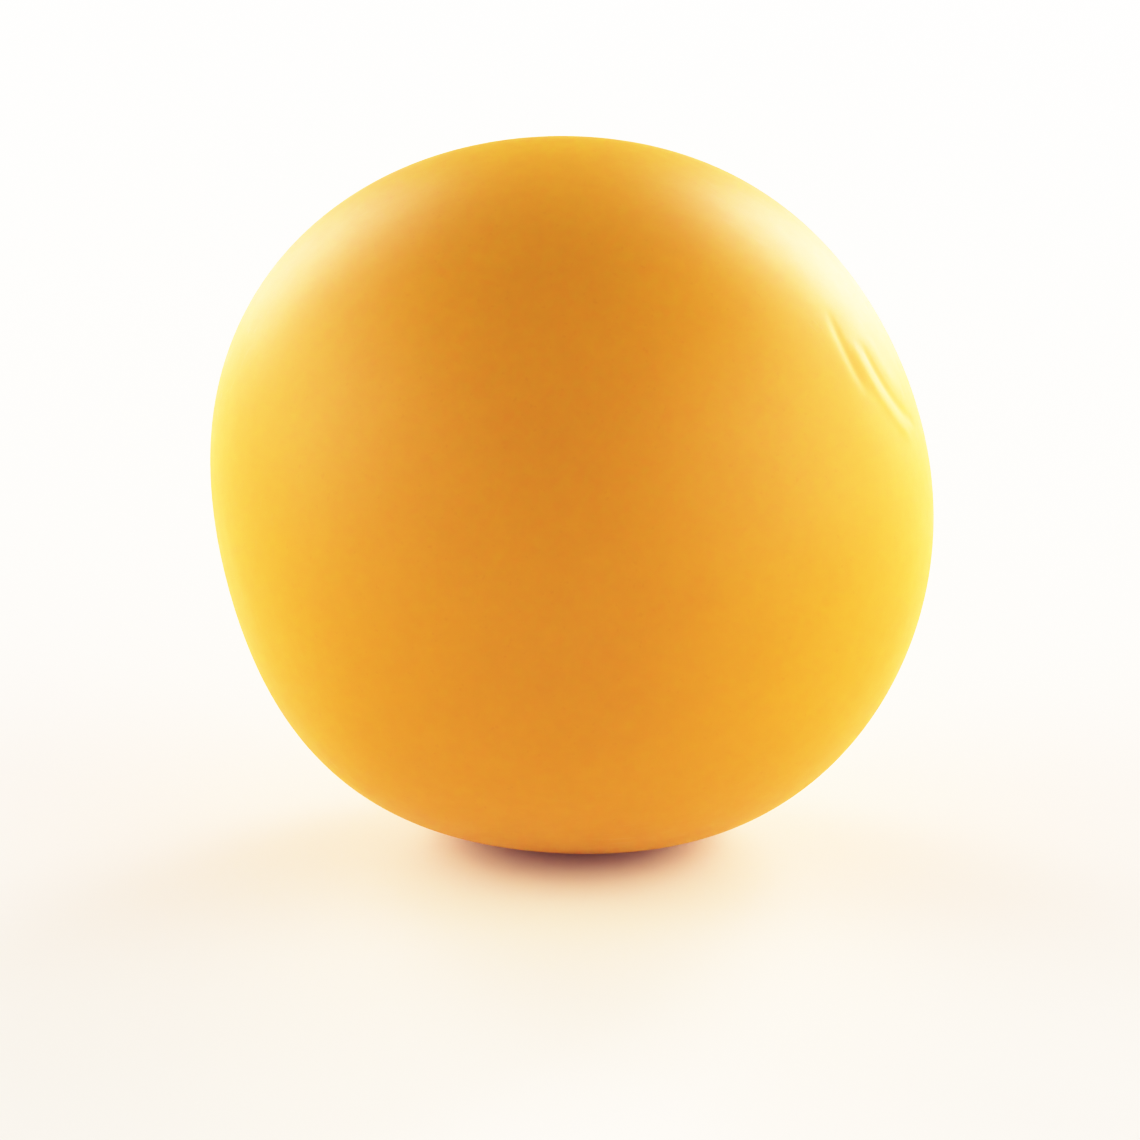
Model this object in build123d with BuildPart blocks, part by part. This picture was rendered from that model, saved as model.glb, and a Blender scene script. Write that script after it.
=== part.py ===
from build123d import *
import os
from math import atan2, cos, hypot, pi, radians, sin

# A hollow table tennis ball: two moulded half shells that meet in a lap joint, and the weld that
# holds them. Millimetres, +Z up. The ball stands on a small flat, and the origin is the middle of
# that flat. -Y is the front, and the seam stands across the view from the front.

# ---- size and form ---------------------------------------------------------------------------
ball_diameter = 40.0  # mean across the outline of the seam
middle = (-0.70, -0.36, 19.46)  # of the ball, from the middle of the resting flat
front_rise = 17.0  # degrees by which the front pole is turned up from level

# The ball is a little out of round. Seen from the front, each line is one set of equal lobes round
# the outline: how many, their height as a share of the radius, and the direction of the first one
# in degrees, anticlockwise from the right. They fade out towards the front and rear poles.
oval = (2, 0.0200, -44.0)
three_sided = (3, 0.0028, -7.0)
square = (4, 0.0125, -38.0)
five_sided = (5, 0.0044, 11.0)
six_sided = (6, 0.0022, -6.0)
lobes = [oval, three_sided, square, five_sided, six_sided]

# ---- wall ------------------------------------------------------------------------------------
wall = 0.48  # shell, away from the rim
rim_wall = 0.90  # the thicker band at the rim, which carries the joint
rim_height = 2.2  # from the seam to the end of that band
rim_slope = 0.20  # bevel where the band ends

# ---- lap joint -------------------------------------------------------------------------------
film = 0.05  # weld between the two halves
lip = 0.42  # outer lip of the rear half, which covers the spigot
spigot_length = 0.80  # inner step of the front half, which goes inside that lip
hairline = 0.03  # how far the weld stays below the outside
bead_width = 0.20  # weld pressed out along the inside of the joint
bead_height = 0.36
bead_round = 0.08

# ---- worked out from these -------------------------------------------------------------------
radius = ball_diameter / 2
blank = radius * 1.06  # larger than any lobe
tilt = radians(front_rise)
seam = Plane(origin=middle, x_dir=(1, 0, 0), z_dir=(0, -cos(tilt), sin(tilt)))
resting = Plane.XY
FRONT = 1
REAR = -1

os.makedirs("parts", exist_ok=True)


def reach(across, up):
    """Distance from the middle to the outside, in the direction whose unit vector has these two
    parts in the seam's plane."""
    swell = 0.0
    for count, height, first in lobes:
        turn = atan2(up, across) - radians(first)
        swell += height * hypot(across, up) ** count * cos(count * turn)
    return radius * (1 + swell)


def skin(side, inset, grid=31, spread=1.12):
    """One half of the ball's surface, inset from the outside, running a little past the seam.
    Its grid is a flat square wrapped over the half from the pole, and turned over for the rear
    half, so that both face outwards."""
    rows = []
    for i in range(grid):
        row = []
        for j in range(grid):
            u = side * spread * (2 * i / (grid - 1) - 1)
            v = spread * (2 * j / (grid - 1) - 1)
            wrap = 1 + u * u + v * v
            across = 2 * u / wrap
            up = 2 * v / wrap
            ahead = side * (2 / wrap - 1)
            direction = Vector(across, up, ahead)
            row.append(seam.from_local_coords(direction * (reach(across, up) - inset)))
        rows.append(row)
    return Face.make_surface_from_array_of_points(rows, tol=0.001, min_deg=3, max_deg=5)


def outline(inset, points=48):
    """The area inside the seam's outline, inset from the outside."""
    curve = []
    for i in range(points):
        turn = 2 * pi * i / points
        out = reach(cos(turn), sin(turn)) - inset
        curve.append((out * cos(turn), out * sin(turn)))
    with BuildSketch(Plane.XY) as area:
        with BuildLine():
            Spline(*curve, periodic=True)
        make_face()
    return area.sketch


def band(outside, inside):
    """The strip round the seam between two insets. An outside of None runs past the ball."""
    with BuildSketch(Plane.XY) as area:
        if outside is None:
            Circle(blank)
        else:
            add(outline(outside))
        add(outline(inside), mode=Mode.SUBTRACT)
    return area.sketch


def half(side, inset):
    """One solid half of the ball, inset from the outside and from the resting flat."""
    with BuildPart() as solid:
        with BuildSketch(seam):
            Circle(blank)
        extrude(amount=side * blank)
        split(bisect_by=skin(side, inset), keep=Keep.BOTTOM)
        split(bisect_by=resting.offset(inset), keep=Keep.TOP)
    return solid.part


def hollow(side):
    """The air space in one half: thin wall all over, and the thicker band along the rim."""
    with BuildPart() as space:
        add(half(side, wall))
        with BuildSketch(seam):
            add(band(None, rim_wall))
        extrude(amount=side * rim_height, mode=Mode.SUBTRACT)
        ledge = space.faces().filter_by(seam).sort_by(SortBy.AREA)[0]
        chamfer(ledge.inner_wires().edges(), length=rim_slope)
    return space.part


# ---- front half shell: its rim carries the spigot ----------------------------------------------
with BuildPart() as front_half_shell:
    add(half(FRONT, 0))
    add(hollow(FRONT), mode=Mode.SUBTRACT)
    with BuildSketch(seam):
        add(band(lip + film, rim_wall))
    extrude(amount=-spigot_length)
front_half_shell.part.label = "front_half_shell"

# ---- rear half shell: its rim is stepped to take the spigot, and its foot is the flat ----------
with BuildPart() as rear_half_shell:
    add(half(REAR, 0))
    add(hollow(REAR), mode=Mode.SUBTRACT)
    with BuildSketch(seam):
        Circle(blank)
    extrude(amount=-film, mode=Mode.SUBTRACT)
    with BuildSketch(seam):
        add(outline(lip))
    extrude(amount=-(spigot_length + film), mode=Mode.SUBTRACT)
rear_half_shell.part.label = "rear_half_shell"

# ---- seam weld: the film that fills the lap joint, with its bead along the inside ---------------
with BuildPart() as seam_weld:
    with BuildSketch(seam):
        add(band(hairline, lip + film))
    extrude(amount=-film)
    with BuildSketch(seam):
        add(band(lip, lip + film))
    extrude(amount=-(spigot_length + film))
    with BuildSketch(seam.offset(-spigot_length)):
        add(band(lip, rim_wall + bead_width / 2))
    extrude(amount=-film)
    with BuildSketch(seam.offset(-spigot_length - film / 2)):
        add(band(rim_wall, rim_wall + bead_width))
    extrude(amount=bead_height / 2, both=True)
    bead_edges = seam_weld.edges().filter_by(GeomType.LINE, reverse=True).sort_by(SortBy.LENGTH)[:2]
    fillet(bead_edges, radius=bead_round)
    add(rear_half_shell.part, mode=Mode.SUBTRACT)
seam_weld.part.label = "seam_weld"

for piece in (front_half_shell, rear_half_shell, seam_weld):
    export_step(piece.part, f"parts/{piece.part.label}.step")
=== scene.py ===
"""A hollow orange table tennis ball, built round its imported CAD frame.

The two half shells are modelled here as real walls, with the lap joint at their rims, the crease
pressed into the front half and the small flat on which the ball stands. The weld that joins them
stays the CAD piece. The halves are made in millimetres, in the seam's own axes: x to the right
and y up along the seam's plane, and z ahead of it. The last step on a piece puts it in its place
in metres. The floor, the lamps and the camera are in metres from the start.
"""

from math import asin, atan2, cos, degrees, exp, hypot, pi, radians, sin, sqrt, tan

import bmesh
import bpy
from mathutils import Matrix, Vector


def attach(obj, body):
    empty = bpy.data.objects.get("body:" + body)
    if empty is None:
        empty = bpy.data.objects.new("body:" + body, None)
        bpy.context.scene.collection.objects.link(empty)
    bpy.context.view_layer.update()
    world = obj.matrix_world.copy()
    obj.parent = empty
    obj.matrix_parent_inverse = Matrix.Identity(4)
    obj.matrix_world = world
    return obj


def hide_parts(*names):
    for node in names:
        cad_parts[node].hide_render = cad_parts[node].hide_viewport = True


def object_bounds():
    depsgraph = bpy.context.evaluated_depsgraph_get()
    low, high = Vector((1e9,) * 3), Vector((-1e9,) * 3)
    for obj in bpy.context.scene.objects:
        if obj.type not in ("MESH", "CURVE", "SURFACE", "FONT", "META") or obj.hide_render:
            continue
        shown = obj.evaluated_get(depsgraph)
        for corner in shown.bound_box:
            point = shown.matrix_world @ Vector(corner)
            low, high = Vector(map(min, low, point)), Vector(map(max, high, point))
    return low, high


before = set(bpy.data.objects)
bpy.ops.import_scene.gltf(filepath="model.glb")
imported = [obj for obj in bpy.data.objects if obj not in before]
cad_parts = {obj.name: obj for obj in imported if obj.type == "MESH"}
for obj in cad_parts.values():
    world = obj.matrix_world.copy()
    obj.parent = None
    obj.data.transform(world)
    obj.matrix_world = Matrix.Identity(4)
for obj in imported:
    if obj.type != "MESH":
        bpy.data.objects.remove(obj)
cad_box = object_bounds()

MM = 0.001

# ---- the ball's form, as its design has it -------------------------------------------------------
BALL_DIAMETER = 40.0  # mean across the outline of the seam
FRONT_RISE = radians(17.0)  # how far the front pole is turned up from level
WALL = 0.48
RIM_WALL = 0.90  # the thicker band inside each half, next to the seam
RIM_HEIGHT = 2.2
RIM_SLOPE = 0.20
RIM_TO_WALL = 0.15  # height over which the rim's slope runs out into the wall's inside
FILM = 0.05  # the weld's thickness in the lap joint
LIP = 0.42  # the rear half's outer lip, which the front half's spigot fits inside
SPIGOT_LENGTH = 0.80
FLAT_EDGE = 0.03  # how softly the flat that the ball stands on runs out into the round
FLAT_REACH = 1.0  # height above the flat within which the skin is pressed

# Lobes round the outline, seen from the front: how many, their height as a share of the radius,
# and the direction of the first one in degrees, anticlockwise from the right.
LOBES = [
    (2, 0.0200, -44.0),  # oval
    (3, 0.0028, -7.0),  # three-sided
    (4, 0.0125, -38.0),  # square
    (5, 0.0044, 11.0),  # five-sided
    (6, 0.0022, -6.0),  # six-sided
]

# The crease on the right shoulder: arcs round one point, where the wall was pushed in and sprang
# back. Each arc has its distance from that point in degrees, its height in millimetres (a groove's
# is negative), its width in degrees, and the bearings between which it runs, in degrees from the
# bearing of the front pole, turning downwards.
CREASE_AROUND = 26.0  # degrees round the outline to the point
CREASE_AHEAD = 12.0  # degrees that it lies ahead of the seam
CREASE_ARCS = [
    (22.6, 0.015, 1.9, -25, 18),
    (19.8, -0.050, 1.2, -29, 22),
    (16.6, 0.048, 1.35, -14, 70),
    (13.4, -0.058, 1.15, -11, 84),
    (9.6, 0.028, 1.7, -16, 70),
]
CREASE_FADE = 14.0  # degrees of bearing over which an arc dies out
CREASE_REACH = 27.0  # degrees from the middle of the crease within which the skin is made finer

# ---- how finely it is made -----------------------------------------------------------------------
OUTER_SQUARES = 110  # along one side of the cube that the outside starts as
INNER_SQUARES = 40
FINER_CUTS = 2  # cuts through each square at the crease
EVEN_EDGE = 1.2  # how far from the seam the skin keeps its even squares, for an even rim
SAME_POINT = 0.001  # points nearer to each other than this are one
SMOOTH_ANGLE = radians(30)  # a sharper edge than this stays sharp

FRONT = 1
REAR = -1
RADIUS = BALL_DIAMETER / 2


def reach(across, up):
    """Distance from the middle to the outside, in the direction whose unit vector has these two
    parts in the seam's plane."""
    swell = 0.0
    for count, height, first in LOBES:
        turn = atan2(up, across) - radians(first)
        swell += height * hypot(across, up) ** count * cos(count * turn)
    return RADIUS * (1 + swell)


def outline_point(turn, inset, ahead):
    """A point at this turn round the seam, inset from the outside and so far ahead of it."""
    out = reach(cos(turn), sin(turn)) - inset
    return Vector((out * cos(turn), out * sin(turn), ahead))


# ---- modelling, one step at a time ---------------------------------------------------------------
def only(piece):
    """Leaves this piece alone selected, ready for editing."""
    if bpy.context.object and bpy.context.object.mode != "OBJECT":
        bpy.ops.object.mode_set(mode="OBJECT")
    bpy.ops.object.select_all(action="DESELECT")
    piece.select_set(True)
    bpy.context.view_layer.objects.active = piece


def pick(piece, wanted):
    """Selects the faces for which wanted(middle) is true."""
    only(piece)
    bpy.ops.object.mode_set(mode="EDIT")
    bpy.ops.mesh.select_mode(type="FACE")
    mesh = bmesh.from_edit_mesh(piece.data)
    for face in mesh.faces:
        face.select = wanted(face.calc_center_median())
    mesh.select_flush_mode()
    bmesh.update_edit_mesh(piece.data)


def blown_up_cube(name, squares):
    """A cube cut into squares and blown up into a ball, with the seam along one of its middles."""
    bpy.ops.object.select_all(action="DESELECT")
    bpy.ops.mesh.primitive_cube_add(size=BALL_DIAMETER, location=(0, 0, 0))
    piece = bpy.context.object
    piece.name = name
    piece.data.name = name
    bpy.ops.object.mode_set(mode="EDIT")
    bpy.ops.mesh.subdivide(number_cuts=squares - 1)
    bpy.ops.transform.tosphere(value=1.0)
    bpy.ops.object.mode_set(mode="OBJECT")
    return piece


def shape_skin(piece, inset, relief=None):
    """Moves each point of the round skin out to the lobed surface."""
    for vertex in piece.data.vertices:
        direction = vertex.co.normalized()
        rise = relief(direction) if relief else 0.0
        vertex.co = direction * (reach(direction.x, direction.y) - inset + rise)


def keep_half(piece, side, start):
    """Cuts the skin along a plane beside the seam and keeps the part beyond it."""
    only(piece)
    bpy.ops.object.mode_set(mode="EDIT")
    bpy.ops.mesh.select_all(action="SELECT")
    bpy.ops.mesh.bisect(
        plane_co=(0, 0, side * start),
        plane_no=(0, 0, side),
        clear_inner=True,
        threshold=SAME_POINT,
    )
    bpy.ops.object.mode_set(mode="OBJECT")


def crease_middle():
    """The direction of the point that the crease's arcs run round."""
    around = radians(CREASE_AROUND)
    ahead = radians(CREASE_AHEAD)
    return Vector((cos(ahead) * cos(around), cos(ahead) * sin(around), sin(ahead)))


def near_crease(point):
    """True for a place on the skin that the crease reaches, clear of the even edge."""
    return point.z > EVEN_EDGE and degrees(point.angle(crease_middle())) < CREASE_REACH


def crease_relief(direction):
    """How far the skin stands out of its smooth form at the crease."""
    middle = crease_middle()
    away = degrees(direction.angle(middle))
    if away > CREASE_REACH:
        return 0.0
    to_pole = (Vector((0, 0, 1)) - middle * middle.z).normalized()
    downwards = middle.cross(to_pole)
    bearing = degrees(atan2(direction.dot(downwards), direction.dot(to_pole)))
    rise = 0.0
    for distance, height, width, first, last in CREASE_ARCS:
        share = min(1.0, max(0.0, (bearing - first) / CREASE_FADE))
        share *= min(1.0, max(0.0, (last - bearing) / CREASE_FADE))
        share = share * share * (3 - 2 * share)
        rise += height * share * exp(-(((away - distance) / width) ** 2))
    return rise


def build_rim(piece, steps):
    """Draws the rim's section from the open edge: each step is an inset from the outside and a
    distance ahead of the seam."""
    only(piece)
    bpy.ops.object.mode_set(mode="EDIT")
    bpy.ops.mesh.select_mode(type="EDGE")
    bpy.ops.mesh.select_all(action="DESELECT")
    bpy.ops.mesh.select_non_manifold()
    for inset, ahead in steps:
        bpy.ops.mesh.extrude_edges_move()
        mesh = bmesh.from_edit_mesh(piece.data)
        for vertex in mesh.verts:
            if vertex.select:
                vertex.co = outline_point(atan2(vertex.co.y, vertex.co.x), inset, ahead)
        bmesh.update_edit_mesh(piece.data)
    bpy.ops.object.mode_set(mode="OBJECT")


def join_inside(piece, inside):
    """Joins the wall's inside to the rim, and closes the strip between their open edges."""
    only(inside)
    piece.select_set(True)
    bpy.context.view_layer.objects.active = piece
    bpy.ops.object.join()
    bpy.ops.object.mode_set(mode="EDIT")
    bpy.ops.mesh.select_mode(type="EDGE")
    bpy.ops.mesh.select_all(action="DESELECT")
    bpy.ops.mesh.select_non_manifold()
    bpy.ops.mesh.bridge_edge_loops()
    bpy.ops.mesh.select_all(action="SELECT")
    bpy.ops.mesh.remove_doubles(threshold=SAME_POINT)
    bpy.ops.mesh.normals_make_consistent(inside=False)
    bpy.ops.object.mode_set(mode="OBJECT")


def place_on_frame():
    """The seam's plane in the frame, in millimetres: turned to the design's lean, and moved so that
    the lobed ball fills the CAD box from side to side, from front to rear and up to its top."""
    turned = Matrix.Rotation(pi / 2 - FRONT_RISE, 4, "X")
    gauge = blown_up_cube("gauge", OUTER_SQUARES)
    shape_skin(gauge, 0.0)
    corners = [turned @ vertex.co for vertex in gauge.data.vertices]
    bpy.data.objects.remove(gauge)
    low, high = (corner / MM for corner in cad_box)
    middle = Vector((0, 0, 0))
    for axis in (0, 1):
        spread = [corner[axis] for corner in corners]
        middle[axis] = (low[axis] + high[axis]) / 2 - (min(spread) + max(spread)) / 2
    middle.z = high.z - max(corner.z for corner in corners)
    return Matrix.Translation(middle) @ turned


SEAM = place_on_frame()


def press_flat(piece, inset):
    """Presses the skin against the resting plane, with a soft edge to the flat."""
    to_seam = SEAM.inverted()
    for vertex in piece.data.vertices:
        point = SEAM @ vertex.co
        above = point.z - inset
        if above < FLAT_REACH:
            point.z = inset + (above + sqrt(above * above + FLAT_EDGE * FLAT_EDGE)) / 2
            vertex.co = to_seam @ point


def half_shell(name, side, start, relief, rim_steps):
    """One half of the ball as a closed wall, whose outside starts so far from the seam."""
    outside = blown_up_cube(name, OUTER_SQUARES)
    if relief:
        pick(outside, near_crease)
        bpy.ops.mesh.subdivide(number_cuts=FINER_CUTS)
        bpy.ops.object.mode_set(mode="OBJECT")
    shape_skin(outside, 0.0, relief)
    keep_half(outside, side, start)
    inside = blown_up_cube(name + "_inside", INNER_SQUARES)
    shape_skin(inside, WALL)
    keep_half(inside, side, RIM_HEIGHT + RIM_TO_WALL)
    if side == REAR:
        press_flat(outside, 0.0)
        press_flat(inside, WALL)
    build_rim(outside, rim_steps)
    join_inside(outside, inside)
    return outside


def finish_piece(piece, node, material):
    """Puts the piece in its place in metres, smooths its shading and hangs it on the frame."""
    only(piece)
    piece.matrix_world = Matrix.Scale(MM, 4) @ SEAM
    bpy.ops.object.transform_apply(location=True, rotation=True, scale=True)
    bpy.ops.object.shade_smooth_by_angle(angle=SMOOTH_ANGLE)
    piece.data.materials.clear()
    piece.data.materials.append(material)
    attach(piece, "root")
    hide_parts(node)


# ---- materials -----------------------------------------------------------------------------------
NOISE_MIDDLE = 0.5
GRAIN_HEIGHT = 0.004 * MM


class Value:
    """A socket of a material's nodes that can be reckoned with in plain arithmetic."""

    def __init__(self, tree, socket):
        self.tree = tree
        self.socket = socket

    def make(self, kind, settings, output=0, **sockets):
        """Adds a node: its settings first, then the values or links of its sockets. A socket is
        named, with _ for a space, or given as a number after one _. Returns the output that is
        asked for, which is mostly the first."""
        node = self.tree.nodes.new(kind)
        for name, setting in settings.items():
            setattr(node, name, setting)
        for name, value in sockets.items():
            socket = node.inputs[int(name[1:]) if name[1:].isdigit() else name.replace("_", " ")]
            if isinstance(value, Value):
                self.tree.links.new(value.socket, socket)
            else:
                socket.default_value = value
        return Value(self.tree, node.outputs[output])

    def reckon(self, operation, first, second):
        return self.make("ShaderNodeMath", {"operation": operation}, _0=first, _1=second)

    def __add__(self, other):
        return self.reckon("ADD", self, other)

    def __radd__(self, other):
        return self.reckon("ADD", other, self)

    def __sub__(self, other):
        return self.reckon("SUBTRACT", self, other)

    def __rsub__(self, other):
        return self.reckon("SUBTRACT", other, self)

    def __mul__(self, other):
        return self.reckon("MULTIPLY", self, other)

    def __rmul__(self, other):
        return self.reckon("MULTIPLY", other, self)

    def __truediv__(self, other):
        return self.reckon("DIVIDE", self, other)

    def __rtruediv__(self, other):
        return self.reckon("DIVIDE", other, self)

    def at_most(self, other):
        return self.reckon("MINIMUM", self, other)

    def at_least(self, other):
        return self.reckon("MAXIMUM", self, other)

    def noise(self, size, detail=2.0, stretch=(1, 1, 1), shift=0.0):
        """Soft noise with lumps of about this size in millimetres, from 0 to 1."""
        place = self.make(
            "ShaderNodeMapping",
            {"vector_type": "POINT"},
            Vector=self,
            Location=(shift, shift, shift),
            Scale=tuple(share / (size * MM) for share in stretch),
        )
        return self.make("ShaderNodeTexNoise", {}, Vector=place, Scale=1.0, Detail=detail)

    def between(self, low, high):
        """0 below low, 1 above high, and a smooth rise in the middle."""
        return self.make(
            "ShaderNodeMapRange",
            {"interpolation_type": "SMOOTHSTEP"},
            Value=self,
            From_Min=low,
            From_Max=high,
        )

    def blend(self, first, second):
        """The first colour where this is 0 and the second where it is 1."""
        return self.make(
            "ShaderNodeMix",
            {"data_type": "RGBA"},
            output=2,
            _0=self,
            _6=(*first, 1),
            _7=(*second, 1),
        )


def new_material(name):
    """A material, its shader, and the place on the piece to start from."""
    material = bpy.data.materials.new(name)
    material.use_nodes = True
    tree = material.node_tree
    tree.nodes.clear()
    output = tree.nodes.new("ShaderNodeOutputMaterial")
    shader = tree.nodes.new("ShaderNodeBsdfPrincipled")
    tree.links.new(shader.outputs["BSDF"], output.inputs["Surface"])
    coordinate = tree.nodes.new("ShaderNodeTexCoord")
    return material, shader, Value(tree, coordinate.outputs["Object"])


def feed(shader, name, value):
    """Links a value to one of the shader's sockets."""
    value.tree.links.new(value.socket, shader.inputs[name])


def seam_distance(place):
    """How far a point is from the seam's plane, in millimetres."""
    forward = SEAM.to_3x3() @ Vector((0, 0, 1))
    offset = forward.dot(SEAM.translation)
    ahead = place.make(
        "ShaderNodeVectorMath",
        {"operation": "DOT_PRODUCT"},
        output=1,
        _0=place,
        _1=forward,
    )
    return place.reckon("ABSOLUTE", ahead / MM - offset, 0.0)


def moulded_orange(name, color, deep, roughness):
    """Matt orange ABS: even colour with a faint cloudiness and a few specks, a fine tumbled grain,
    rubbed streaks, and light that goes a little way into the thin wall."""
    material, shader, place = new_material(name)
    shader.inputs["Subsurface Weight"].default_value = 1.0
    shader.inputs["Subsurface Radius"].default_value = (1.0, 0.45, 0.12)
    shader.inputs["Subsurface Scale"].default_value = 0.6 * MM
    shader.inputs["IOR"].default_value = 1.5
    shader.inputs["Specular IOR Level"].default_value = 0.20

    cloud = place.noise(size=9.0, detail=3.0) - NOISE_MIDDLE
    mottle = place.noise(size=0.9, shift=3.0) - NOISE_MIDDLE
    speck = place.noise(size=0.32, detail=1.0, shift=7.0).between(low=0.70, high=0.76)
    scratch = place.noise(size=0.35, stretch=(0.12, 1, 0.5), shift=11.0)
    rubbed = place.noise(size=6.0, shift=17.0).between(low=0.56, high=0.70)
    streak = rubbed * scratch.between(low=0.58, high=0.70)
    seam = 1 - seam_distance(place).between(low=0.05, high=0.45)

    depth = 0.35 + 0.9 * cloud + 0.5 * mottle + 0.35 * speck + 0.35 * seam
    feed(shader, "Base Color", depth.at_least(0.0).at_most(1.0).blend(color, deep))
    matt = roughness + 0.10 * cloud + 0.06 * mottle - 0.08 * streak - 0.08 * seam
    feed(shader, "Roughness", matt)

    fine_grain = place.noise(size=0.16, detail=3.0, shift=23.0)
    coarse_grain = place.noise(size=0.55, shift=29.0)
    height = 0.7 * fine_grain + 0.5 * coarse_grain + 0.3 * streak
    bump = place.make("ShaderNodeBump", {}, Strength=1.0, Distance=GRAIN_HEIGHT, Height=height)
    feed(shader, "Normal", bump)
    return material


shell_material = moulded_orange(
    "moulded_orange_shell",
    color=(0.63, 0.314, 0.0056),
    deep=(0.58, 0.272, 0.0046),
    roughness=0.50,
)
weld_material = moulded_orange(
    "orange_weld",
    color=(0.54, 0.20, 0.004),
    deep=(0.46, 0.15, 0.003),
    roughness=0.40,
)

# ---- the pieces ----------------------------------------------------------------------------------
BAND_END = RIM_HEIGHT - RIM_SLOPE  # where the rim's thicker band starts to slope out to the wall
front_half_shell = half_shell(
    "front_half_shell_wall",
    FRONT,
    0.0,
    crease_relief,
    [
        (LIP + FILM, 0.0),
        (LIP + FILM, -SPIGOT_LENGTH),
        (RIM_WALL, -SPIGOT_LENGTH),
        (RIM_WALL, BAND_END),
        (RIM_WALL - RIM_SLOPE, RIM_HEIGHT),
    ],
)
rear_half_shell = half_shell(
    "rear_half_shell_wall",
    REAR,
    FILM,
    None,
    [
        (LIP, -FILM),
        (LIP, -SPIGOT_LENGTH - FILM),
        (RIM_WALL, -SPIGOT_LENGTH - FILM),
        (RIM_WALL, -BAND_END),
        (RIM_WALL - RIM_SLOPE, -RIM_HEIGHT),
    ],
)
finish_piece(front_half_shell, "front_half_shell", shell_material)
finish_piece(rear_half_shell, "rear_half_shell", shell_material)
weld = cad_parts["seam_weld"]
weld.data.materials.clear()
weld.data.materials.append(weld_material)

# ---- floor, light and camera ---------------------------------------------------------------------
BALL_MIDDLE = SEAM.translation * MM
FLOOR_SIZE = 6.0
PALE = (0.965, 0.908, 0.825)
WARM = (1.0, 0.96, 0.85)
WHITE = (1.0, 0.94, 0.98)
LAMP_DISTANCE = 0.60
SKY_STRENGTH = 0.03

# Each lamp's name, azimuth and elevation in degrees, width and height, power in watts and colour.
# Azimuth 0 is the front, and turns towards the right.
LAMPS = [
    ("left_front_softbox", -70, 14, 0.70, 0.60, 4.7, WARM),
    ("right_front_softbox", 70, 14, 0.70, 0.60, 8.6, WARM),
    ("left_side_softbox", -95, 18, 0.50, 0.50, 6.2, WARM),
    ("right_side_softbox", 95, 18, 0.50, 0.50, 3.8, WARM),
    ("front_fill", 0, 25, 0.80, 0.50, 0.7, WARM),
    ("left_back_softbox", -137, 18, 0.20, 0.36, 2.2, WHITE),
    ("right_back_softbox", 132, 17, 0.26, 0.40, 2.6, WHITE),
    ("left_rim_strip", -150, 18, 0.16, 0.40, 3.0, WHITE),
    ("right_rim_strip", 150, 18, 0.16, 0.40, 5.2, WHITE),
]


def floor():
    """A plain pale floor, satin enough to catch a little of the lamps' light."""
    bpy.ops.object.select_all(action="DESELECT")
    bpy.ops.mesh.primitive_plane_add(size=FLOOR_SIZE, location=(0, 0, 0))
    sheet = bpy.context.object
    sheet.name = "floor"
    material, shader, _ = new_material("pale_floor")
    shader.inputs["Base Color"].default_value = (*PALE, 1)
    shader.inputs["Roughness"].default_value = 0.45
    shader.inputs["Specular IOR Level"].default_value = 0.5
    sheet.data.materials.append(material)


def softbox(name, azimuth, elevation, width, height, power, color):
    """A soft light that faces the ball."""
    light = bpy.data.lights.new(name, "AREA")
    light.shape = "RECTANGLE"
    light.size = width
    light.size_y = height
    light.energy = power
    light.color = color
    lamp = bpy.data.objects.new(name, light)
    bpy.context.scene.collection.objects.link(lamp)
    around = radians(azimuth)
    up = radians(elevation)
    way = Vector((sin(around) * cos(up), -cos(around) * cos(up), sin(up)))
    lamp.location = BALL_MIDDLE + way * LAMP_DISTANCE
    lamp.rotation_euler = way.to_track_quat("Z", "Y").to_euler()


def studio_sky():
    """A faint even light from all round."""
    world = bpy.data.worlds.new("studio")
    world.use_nodes = True
    background = world.node_tree.nodes["Background"]
    background.inputs["Color"].default_value = (1, 1, 1, 1)
    background.inputs["Strength"].default_value = SKY_STRENGTH
    bpy.context.scene.world = world


def camera():
    """A long lens from the front, as high as the front pole is turned up."""
    distance = 0.55
    radius_share = 0.3192  # the ball's mean radius as a share of the view's width
    share_across = 0.5005  # where the ball's middle stands, as a share of the view from its left
    share_down = 0.4355  # and from its top
    data = bpy.data.cameras.new("camera")
    view = bpy.data.objects.new("camera", data)
    bpy.context.scene.collection.objects.link(view)
    half_width = tan(asin(RADIUS * MM / distance)) / (2 * radius_share)
    data.sensor_width = 36
    data.lens = data.sensor_width / 2 / half_width
    way = Vector((0, -cos(FRONT_RISE), sin(FRONT_RISE)))
    view.location = BALL_MIDDLE + way * distance
    view.rotation_euler = way.to_track_quat("Z", "Y").to_euler()
    data.shift_x = 0.5 - share_across
    data.shift_y = share_down - 0.5
    data.clip_start = 0.01
    bpy.context.scene.camera = view


def film_curve():
    """Shadows deepen a little and turn warm, bright light rolls off gently towards white, and blue
    never quite goes out, as on film."""
    brightest = 4.0
    contrast = 1.7
    steps = (0.04, 0.1, 0.2, 0.35, 0.6, 1.0, 1.5, 2.1, 2.9)
    least_blue = 0.02
    warm_toe = [(0, 0.035, 0.20), (1, 0.012, 0.08)]  # red and green: the least, and where that ends
    settings = bpy.context.scene.view_settings
    settings.view_transform = "Standard"
    settings.use_curve_mapping = True
    mapping = settings.curve_mapping
    mapping.white_level = (brightest, brightest, brightest)
    mapping.curves[2].points[0].location = (0.0, least_blue)
    for channel, least, end in warm_toe:
        toe = mapping.curves[channel]
        toe.points.new(end, end)
        toe.points[0].location = (0.0, least)
        for point in toe.points:
            point.handle_type = "VECTOR"
    curve = mapping.curves[3]
    for light in steps:
        curve.points.new(light / brightest, 1 - exp(-(light**contrast)))
    mapping.update()


floor()
studio_sky()
for lamp in LAMPS:
    softbox(*lamp)
camera()
film_curve()
